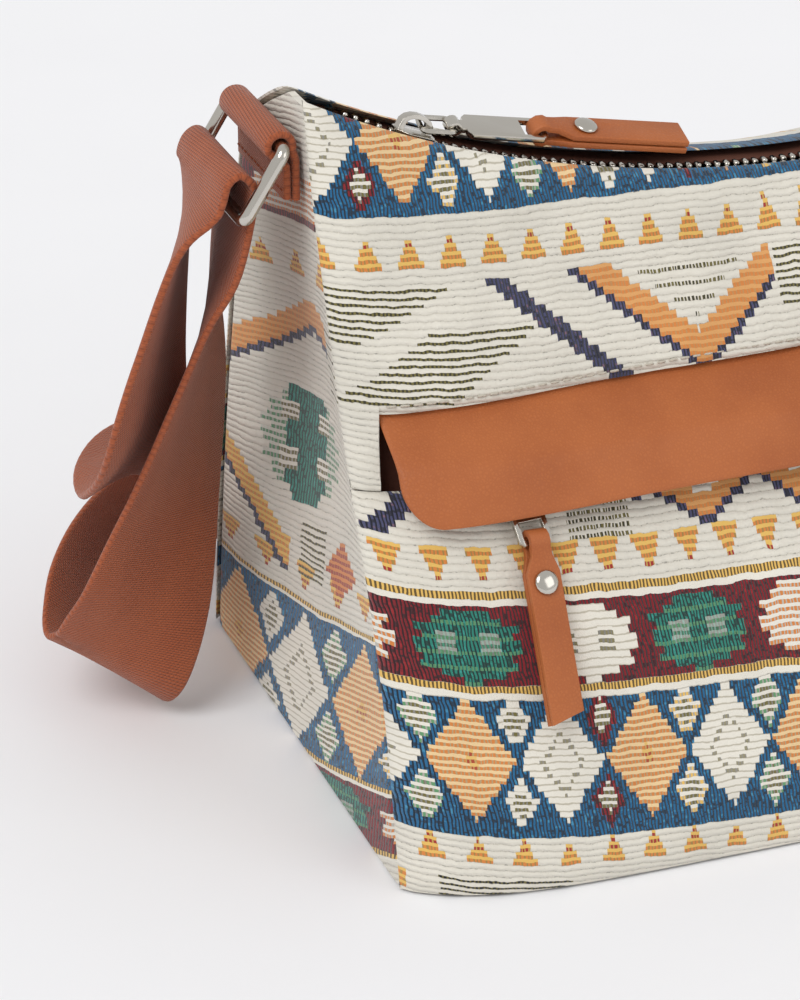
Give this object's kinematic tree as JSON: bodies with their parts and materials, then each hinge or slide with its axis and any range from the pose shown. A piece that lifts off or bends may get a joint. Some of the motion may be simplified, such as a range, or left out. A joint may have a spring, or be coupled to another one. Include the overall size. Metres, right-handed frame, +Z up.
{
  "type": "crossbody bag",
  "caption": "Soft woven-cloth crossbody bag with sagging zipped top, zipped front pocket under a leather flap, leather zip pulls and a webbing strap on metal rings",
  "frame": {"origin": "middle of the base, on the surface the bag stands on", "axes": "+X along the front to the right, +Y from the front to the back, +Z up"},
  "size_m": [0.3524, 0.2309, 0.178],
  "materials": {
    "tapestry": "thick woven cloth with a geometric pattern",
    "lining": "brown brushed cloth",
    "leather": "tan, lightly grained",
    "webbing": "rust webbing, twill weave",
    "nickel": "polished nickel plate",
    "zip_tape": "brown woven tape",
    "board": "stiff board"
  },
  "bodies": {
    "bag": {"back_panel": "tapestry", "base_board": "board", "base_panel": "tapestry", "front_panel": "tapestry", "leather_flap": "leather", "left_gusset": "tapestry", "left_tab": "webbing", "lining": "lining", "pocket_panel": "tapestry", "pocket_stop_left": "nickel", "pocket_stop_right": "nickel", "pocket_wall": "lining", "pocket_zip_tape_lower": "zip_tape", "pocket_zip_tape_upper": "zip_tape", "pocket_zip_teeth_lower": "nickel", "pocket_zip_teeth_upper": "nickel", "right_gusset": "tapestry", "right_tab": "webbing", "shoulder_strap": "webbing", "strap_adjuster": "nickel", "top_stop_back": "nickel", "top_stop_end": "nickel", "top_stop_front": "nickel", "top_zip_tape_back": "zip_tape", "top_zip_tape_front": "zip_tape", "top_zip_teeth_back": "nickel", "top_zip_teeth_front": "nickel"},
    "top_slider": {"top_slider": "nickel"},
    "top_link": {"top_link": "nickel"},
    "top_plate": {"top_pull_plate": "nickel"},
    "top_leather": {"top_leather_pull": "leather", "top_pull_rivet": "nickel"},
    "pocket_slider": {"pocket_slider": "nickel"},
    "pocket_plate": {"pocket_pull_plate": "nickel"},
    "pocket_leather": {"pocket_leather_pull": "leather", "pocket_pull_rivet": "nickel"},
    "left_ring": {"left_ring": "nickel"},
    "right_ring": {"right_ring": "nickel"}
  },
  "joints": [
    {"name": "top_slider_run", "type": "hinge", "parent": "bag", "child": "top_slider", "pos_m": [0, -0.00376, 0.44467], "axis": [0, -1, 0], "range_deg": [-1.03, 42.19]},
    {"name": "top_link_swing", "type": "hinge", "parent": "top_slider", "child": "top_link", "pos_m": [-0.09931, -0.00376, 0.16724], "axis": [-0.0479, -0.9613, -0.2714], "range_deg": [0, 70]},
    {"name": "top_plate_swing", "type": "hinge", "parent": "top_link", "child": "top_plate", "pos_m": [-0.09094, -0.00376, 0.16577], "axis": [-0.0479, -0.9613, -0.2714], "range_deg": [0, 60]},
    {"name": "top_leather_swing", "type": "hinge", "parent": "top_plate", "child": "top_leather", "pos_m": [-0.06809, -0.00376, 0.16174], "axis": [-0.0479, -0.9613, -0.2714], "range_deg": [0, 40]},
    {"name": "pocket_slider_run", "type": "hinge", "parent": "bag", "child": "pocket_slider", "pos_m": [0, -0.99898, 0.095], "axis": [0, 0, -1], "range_deg": [-0.08, 10.91]},
    {"name": "pocket_plate_swing", "type": "hinge", "parent": "pocket_slider", "child": "pocket_plate", "pos_m": [-0.09215, -0.04452, 0.0962], "axis": [-0.9954, -0.0961, 0], "range_deg": [0, 2.5]},
    {"name": "pocket_leather_swing", "type": "hinge", "parent": "pocket_plate", "child": "pocket_leather", "pos_m": [-0.09063, -0.06021, 0.08057], "axis": [-0.9954, -0.0961, 0], "range_deg": [0, 75]},
    {"name": "left_ring_swing", "type": "hinge", "parent": "bag", "child": "left_ring", "pos_m": [-0.1352, 0.0117, 0.1667], "axis": [0, 1, 0], "range_deg": [-28, 100], "deforming": ["shoulder_strap"]},
    {"name": "right_ring_swing", "type": "hinge", "parent": "bag", "child": "right_ring", "pos_m": [0.1352, 0.0117, 0.1667], "axis": [0, -1, 0], "range_deg": [-28, 100], "deforming": ["shoulder_strap"]}
  ]
}
